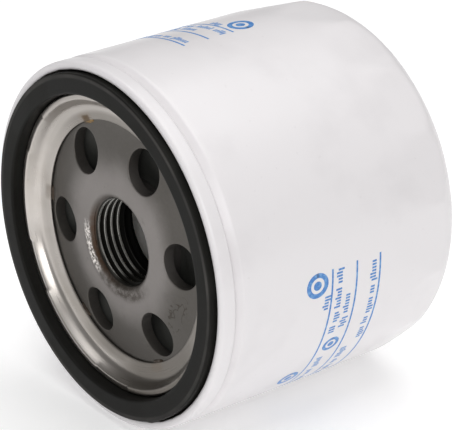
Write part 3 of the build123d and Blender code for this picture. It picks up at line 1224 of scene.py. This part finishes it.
# ---- inside: valve, element, bypass valve and springs --------------------------------------
@dataclass
class DrainbackValve:
    """Rubber diaphragm whose lip bends away from the plate in use while its hub stays clamped; made
    here at rest.
    """

    rubber: Rubber
    hub_radius: float = 14.0
    bore_radius: float = 11.96
    lip_radius: float = 29.6
    flat_radius: float = 26.5
    wall: float = 0.8
    dish: float = 2.5
    hold_front: float = 11.8
    segments: int = 144
    front: float = field(init=False)
    rear: float = field(init=False)

    def __post_init__(self) -> None:
        """Read the valve's stations from the frame."""
        _, self.front, self.rear = reach("anti_drainback_valve")

    def build(self) -> bpy.types.Object:
        """Make the valve and hide the CAD node that it replaces."""
        root = self.front + self.dish
        line = rounded([
            Corner(self.bore_radius, root, 0.2),
            Corner(self.hub_radius - 0.4, root, 0.5),
            Corner(self.flat_radius, self.front + 0.02, 2.0),
            Corner(self.lip_radius - 1.2, self.front + 0.02, 0.2),
            Corner(self.lip_radius, self.front + 0.12, 0.2),
            Corner(self.lip_radius, self.front + self.wall * 0.85, 0.25),
            Corner(self.flat_radius + 0.1, self.front + self.wall, 2.0),
            Corner(self.hub_radius, root + self.wall, 0.4),
            Corner(self.hub_radius, self.rear, 0.3),
            Corner(self.bore_radius, self.rear, 0.3),
        ], closed=True)
        piece = Piece("drainback_diaphragm").spin(divided(line, 0.9), self.segments)
        made = piece.build(self.rubber.material())
        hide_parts("anti_drainback_valve")
        lip = (self.front + self.wall) * MM
        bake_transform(made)
        log.info("%s: bends from %s to %s", made.name, Body.ROOT.value, Body.LIP.value)
        return made


@dataclass
class Element:
    """Pleated pack between two dished caps, on a perforated tube."""

    cap_steel: Steel
    tube_steel: Steel
    potting: Cured
    paper: Paper
    cap_sheet: float = 0.4
    sleeve_radius: float = 14.22
    port_radius: float = 9.3
    tube_inner: float = 16.92
    meniscus: float = 0.07
    potting_gap: float = 0.02
    segments: int = 160

    def cap(self, node: str, corners: Sequence[Corner]) -> bpy.types.Object:
        """Make one dished cap from the corners of its sheet."""
        outline = divided(sheet(rounded(corners), self.cap_sheet), 1.5)
        piece = Piece(f"{node}_pressing").spin(outline, self.segments)
        return fit(piece.build(self.cap_steel.material()), node)

    def ring(self, node: str) -> bpy.types.Object:
        """Make one potting ring with a meniscus at its open face."""
        radius, front, rear = reach(node)
        middle = (radius + self.tube_inner) / 2
        line = rounded([
            Corner(self.tube_inner, front, 0.3),
            Corner(radius, front, 0.3),
            Corner(radius, rear, 0.3),
            Corner(middle, rear - self.meniscus, 4.0),
            Corner(self.tube_inner, rear, 0.3),
        ], closed=True)
        piece = Piece(f"{node}_plastisol").spin(divided(line, 1.0), self.segments)
        return fit(piece.build(self.potting.material()), node)

    def build(self) -> list[bpy.types.Object]:
        """Make the caps and rings, and give the CAD's paper, clip and tube their finishes."""
        radius, front, rear = reach("front_end_cap")
        face = self.cap_sheet / 2
        rim = radius - face
        disc = reach("front_potting_ring")[1] - self.potting_gap - face
        made = [self.cap("front_end_cap", [
            Corner(self.sleeve_radius, front),
            Corner(self.sleeve_radius, disc, 0.4),
            Corner(rim, disc, 0.8),
            Corner(rim, rear),
        ])]
        _, front, rear = reach("rear_end_cap")
        made.append(self.cap("rear_end_cap", [
            Corner(self.port_radius, rear - face),
            Corner(rim, rear - face, 0.8),
            Corner(rim, front),
        ]))
        made += [self.ring("front_potting_ring"), self.ring("rear_potting_ring")]
        made += [
            dress("pleated_media", self.paper),
            dress("media_seam_clip", self.cap_steel),
            dress("centre_tube", self.tube_steel),
        ]
        return made


@dataclass
class BypassValve:
    """Spring-loaded poppet on a seat, held in a windowed cage."""

    steel: Steel
    spring_steel: Steel
    rubber: Rubber
    wire: float = 0.9
    coil_radius: float = 6.2
    turns: float = 5.5
    turn_steps: int = 40
    wire_sides: int = 12
    travel: float = 3.0
    port_radius: float = 6.5
    stem_radius: float = 1.5
    disc: float = 0.8
    seal_bore: float = 5.3
    segments: int = 96

    def turned(
        self, node: str, corners: Sequence[Corner], body: Body, finish: Finish, slot: str
    ) -> bpy.types.Object:
        """Make one turned piece of the valve.

        Args:
            node: The CAD node that it replaces.
            corners: The corners of its closed section.
            body: The body that it rides on.
            finish: The piece's finish.
            slot: The record's material slot; not used.

        Returns:
            The fitted piece.
        """
        line = divided(rounded(corners, closed=True), 0.8)
        piece = Piece(f"{node}_turned").spin(line, self.segments)
        return fit(piece.build(finish.material()), node, body)

    def coil(self) -> bpy.types.Object:
        """Make the return spring as a round wire with closed ends, squashed by the poppet."""
        low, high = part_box("bypass_spring")
        first, last = low.y / MM + self.wire / 2, high.y / MM - self.wire / 2
        steps, sides = int(self.turns * self.turn_steps), self.wire_sides
        share = np.linspace(0, 1, steps)
        angle = share * self.turns * TURN
        station = first + (last - first) * share
        round_wire = np.arange(sides) * TURN / sides
        slant = (last - first) / (self.turns * TURN * self.coil_radius)
        out = self.coil_radius + self.wire / 2 * np.cos(round_wire)[:, None]
        rise = self.wire / 2 * np.sin(round_wire)[:, None]
        turn = angle[None, :] - rise * slant / self.coil_radius
        points = around(out, station[None, :] + rise, turn).transpose(1, 0, 2)
        piece = Piece("bypass_spring_coil")
        piece.patch(points, grid_faces(steps, sides, False))
        made = piece.build(self.spring_steel.material())
        body = bmesh.new()
        body.from_mesh(made.data)
        bmesh.ops.holes_fill(body, edges=[edge for edge in body.edges if edge.is_boundary], sides=0)
        bmesh.ops.recalc_face_normals(body, faces=body.faces)
        body.to_mesh(made.data)
        body.free()
        fit(made, "bypass_spring")
        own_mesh(made)
        return made

    def build(self) -> list[bpy.types.Object]:
        """Make the seat, poppet, seal and spring, and dress the CAD's cage."""
        outer, front, rear = reach("bypass_valve_seat")
        port = self.port_radius
        made = [self.turned("bypass_valve_seat", [
            Corner(port, front, 0.1), Corner(outer, front, 0.1),
            Corner(outer, rear, 0.1), Corner(port, rear, 0.25),
        ], Body.ROOT, self.steel, "cap_steel")]
        outer, tip, rear = reach("bypass_poppet")
        stem, disc = self.stem_radius, rear - self.disc
        line = divided(rounded([
            Corner(0.0, tip), Corner(stem, tip, 0.35), Corner(stem, disc, 0.6),
            Corner(outer, disc, 0.2), Corner(outer, rear, 0.2), Corner(0.0, rear),
        ]), 0.8, closed=False)
        piece = Piece("bypass_poppet_turned").spin(line, self.segments, closed=False)
        poppet = piece.build(self.steel.material())
        made.append(fit(poppet, "bypass_poppet", Body.POPPET))
        outer, front, rear = reach("bypass_poppet_seal")
        made.append(self.turned("bypass_poppet_seal", [
            Corner(self.seal_bore, front, 0.15), Corner(outer, front, 0.15),
            Corner(outer, rear, 0.3), Corner(self.seal_bore, rear, 0.2),
        ], Body.POPPET, self.rubber, "valve_rubber"))
        made.append(self.coil())
        made.append(dress("bypass_valve_cage", self.steel))
        return made


# ---- print on the can ----------------------------------------------------------------------
@dataclass
class Print:
    """Blue printed panels: thin rules, rows of unreadable dashes and ringed dots.

    Rows hold a station and the first and last angle, and emblems a station, an angle and a size.
    """

    ink: Ink
    lift: float = 0.015
    rule: float = 0.42
    rules: tuple[float, ...] = (28.15, 34.35, 40.3)
    start: float = 3.0
    end: float = -62.0
    rows: tuple[tuple[float, float, float], ...] = (
        (30.15, 2.4, -21.0), (32.5, -7.2, -20.0), (38.8, 1.2, -27.0),
        (36.6, -32.0, -56.0), (30.6, -33.0, -58.0), (27.0, -5.4, -7.4),
    )
    emblems: tuple[tuple[float, float, float], ...] = (
        (24.4, -0.8, 2.7), (31.3, -26.6, 2.0), (24.8, -41.0, 2.4)
    )
    dashes: tuple[tuple[float, float], ...] = ((1.05, 0.0), (1.05, 0.0), (1.5, 0.22), (1.5, -0.22))
    dash_width: float = 0.66
    dash_pitch: float = 1.04
    word_gap: float = 1.3
    circles: tuple[tuple[float, float], ...] = ((1.0, 0.62), (0.36, 0.02))
    flipped_station: float = 61.6
    flipped_angle: float = 93.0
    radius: float = field(init=False)

    def __post_init__(self) -> None:
        """Read the can's radius from the frame."""
        self.radius = reach("canister")[0]

    def patch(self, piece: Piece, corners: np.ndarray, flip: bool) -> None:
        """Add one inked patch.

        Args:
            piece: The print being made.
            corners: Rows of (station, angle) pairs down the two long sides of the patch.
            flip: Whether the patch belongs to the panel printed the other way up.
        """
        station, angle = corners[..., 0], corners[..., 1]
        if flip:
            station, angle = self.flipped_station - station, self.flipped_angle - angle
        turn = np.radians(angle)
        over = around(self.radius + self.lift, station, turn)
        under = around(self.radius - self.lift, station, turn)
        rows = len(station)
        points = np.stack((over[:, 0], over[:, 1], under[:, 1], under[:, 0]), axis=1)
        sides = grid_faces(rows, 4, False)
        ends = np.array([[0, 1, 2, 3], [4 * rows - 4 + n for n in (3, 2, 1, 0)]])
        piece.patch(points, np.vstack((sides, ends)))

    def bar(
        self, piece: Piece, station: float, first: float, last: float, width: float, flip: bool
    ) -> None:
        """Ink a bar along the can's turn from angle first to last, width wide."""
        steps = max(2, int(abs(last - first) / 1.5) + 2)
        angle = np.linspace(first, last, steps)
        sides = [
            np.column_stack((np.full(steps, edge), angle))
            for edge in (station - width / 2, station + width / 2)
        ]
        self.patch(piece, np.stack(sides, axis=1), flip)

    def words(
        self, piece: Piece, station: float, first: float, last: float, seed: int, flip: bool
    ) -> None:
        """Ink a row of short upright dashes in groups, which can't be read."""
        place = first
        draw = np.random.default_rng(seed)
        while place > last:
            for _ in range(int(draw.integers(3, 8))):
                height, rise = draw.choice(self.dashes)
                self.bar(piece, station + rise, place, place - self.dash_width, height, flip)
                place -= self.dash_pitch
            place -= self.word_gap

    def emblem(
        self, piece: Piece, station: float, angle: float, size: float, flip: bool
    ) -> None:
        """Ink a plain ring with a dot in it, a generic mark."""
        degree = 180 / math.pi / self.radius
        turn = np.linspace(0, TURN, 37)
        for circle in self.circles:
            rim = [
                np.column_stack((station + r * np.sin(turn), angle + r * np.cos(turn) * degree))
                for r in (size * circle[0], size * circle[1])
            ]
            self.patch(piece, np.stack(rim, axis=1), flip)

    def build(self) -> bpy.types.Object:
        """Make both printed panels as one piece."""
        piece = Piece("printed_panels")
        for flip in (False, True):
            for station in self.rules:
                self.bar(piece, station, self.start, self.end, self.rule, flip)
            for seed, (station, first, last) in enumerate(self.rows, 1):
                self.words(piece, station, first, last, seed, flip)
            for station, angle, size in self.emblems:
                self.emblem(piece, station, angle, size, flip)
        made = piece.build(self.ink.material(), crease=60.0)
        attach(made, Body.ROOT.value)
        log.info("%s: %d faces", made.name, len(made.data.polygons))
        return made


# ---- studio --------------------------------------------------------------------------------
@dataclass(frozen=True)
class Lamp:
    """A square soft box: its place from the filter's centre, in metres, its side and its watts."""

    name: str
    place: tuple[float, float, float]
    size: float
    power: float


@dataclass
class Studio:
    """Pale floor, soft light and the camera."""

    azimuth: float = 52.1
    elevation: float = 25.24
    lens: float = 194.9
    sensor: float = 36.0
    clip_start: float = 0.01
    distance: float = 504.5
    aim: tuple[float, float, float] = (1.30, -1.17, -0.99)
    floor_size: float = 6.0
    sky_strength: float = 0.25
    lamps: tuple[Lamp, ...] = (
        Lamp("key", (0.96, -0.72, 0.57), 0.65, 5.3),
        Lamp("top", (0.0, 0.1, 1.1), 1.3, 11.0),
    )

    def floor(self) -> None:
        """Lay the floor under the lowest point of the frame."""
        mesh = bpy.data.meshes.new("floor")
        square = ((-1, -1), (1, -1), (1, 1), (-1, 1))
        corners = [(x * self.floor_size, y * self.floor_size, cad_box[0].z) for x, y in square]
        mesh.from_pydata(corners, [], [(0, 1, 2, 3)])
        mesh.materials.append(FloorPaint().material())
        made = bpy.data.objects.new("floor", mesh)
        bpy.context.scene.collection.objects.link(made)

    def hang(self, lamp: Lamp) -> None:
        """Hang one lamp, facing the filter."""
        data = bpy.data.lights.new(lamp.name, "AREA")
        data.size, data.energy = lamp.size, lamp.power
        made = bpy.data.objects.new(lamp.name, data)
        centre = (cad_box[0] + cad_box[1]) / 2
        spot = centre + Vector(lamp.place)
        aim = (centre - spot).to_track_quat("-Z", "Y").to_matrix().to_4x4()
        made.matrix_world = Matrix.Translation(spot) @ aim
        bpy.context.scene.collection.objects.link(made)

    def sky(self) -> None:
        """Surround the scene with an even pale light."""
        world = bpy.data.worlds.new("studio")
        world.use_nodes = True
        background = world.node_tree.nodes["Background"]
        background.inputs["Color"].default_value = (1.0, 1.0, 1.0, 1.0)
        background.inputs["Strength"].default_value = self.sky_strength
        bpy.context.scene.world = world

    def camera(self) -> None:
        """Set the camera at the viewing angle."""
        turn, rise = math.radians(self.azimuth), math.radians(self.elevation)
        back = Vector((
            math.sin(turn) * math.cos(rise), -math.cos(turn) * math.cos(rise), math.sin(rise)
        ))
        target = (cad_box[0] + cad_box[1]) / 2 + Vector(self.aim) * MM
        data = bpy.data.cameras.new("camera")
        data.lens, data.sensor_width = self.lens, self.sensor
        data.clip_start = self.clip_start
        made = bpy.data.objects.new("camera", data)
        aim = back.to_track_quat("Z", "Y").to_matrix().to_4x4()
        made.matrix_world = Matrix.Translation(target + back * self.distance * MM) @ aim
        bpy.context.scene.collection.objects.link(made)
        bpy.context.scene.camera = made

    def build(self) -> None:
        """Set up the whole studio."""
        self.floor()
        self.sky()
        for lamp in self.lamps:
            self.hang(lamp)
        self.camera()
        bpy.context.scene.view_settings.view_transform = "Standard"


# ---- assembly ------------------------------------------------------------------------------
def main() -> None:
    """Build every sub-assembly round the frame."""
    logging.basicConfig(level=logging.INFO, format="%(name)s: %(message)s")
    enamel, tin = Enamel(), Tinplate()
    cap_steel = Steel("cap_steel", (0.62, 0.61, 0.59))
    tube_steel = Steel("tube_steel", (0.97, 0.96, 0.93), roughness=0.5, metallic=0.0, darkened=0.9)
    spring_steel = Steel("spring_steel", (0.26, 0.26, 0.27), 0.28)
    gasket_rubber = Rubber(
        "gasket_rubber", (0.007, 0.0068, 0.006), (0.021, 0.0203, 0.018), 0.5, edge=35.5, sheen=0.08
    )
    valve_rubber = Rubber(
        "valve_rubber", (0.048, 0.05, 0.046), (0.10, 0.097, 0.09), 0.42, sheen=0.5
    )
    Canister(enamel).build()
    SeamingLid(LidFinish(
        enamel, tin, paint_edge=36.25, paint_end=5.0, weld_radius=SeamingLid.inner_radius,
        weld_phase=LidWelds.phase, welds=LidWelds.count,
    )).build()
    Gasket(gasket_rubber).build()
    TappingPlate(OiledSteel(
        dark=(0.088, 0.081, 0.072), crown_reflection=(0.243, 0.224, 0.214), stain_and_shade=(0.045, 0.036, 0.027),
        mouth_radius=9.1, crown_radius=15.5, minor_radius=TappingPlate.minor_radius,
    )).build()
    LidWelds(WeldScale()).build()
    DrainbackValve(valve_rubber).build()
    Element(cap_steel, tube_steel, Cured("plastisol", (0.45, 0.06, 0.04)), Paper()).build()
    BypassValve(cap_steel, spring_steel, valve_rubber).build()
    dress("element_support_spring", spring_steel)
    dress("seam_sealing_compound", Cured("seam_compound", (0.2, 0.18, 0.16)))
    Print(Ink()).build()
    Studio().build()


if __name__ == "__main__":
    main()
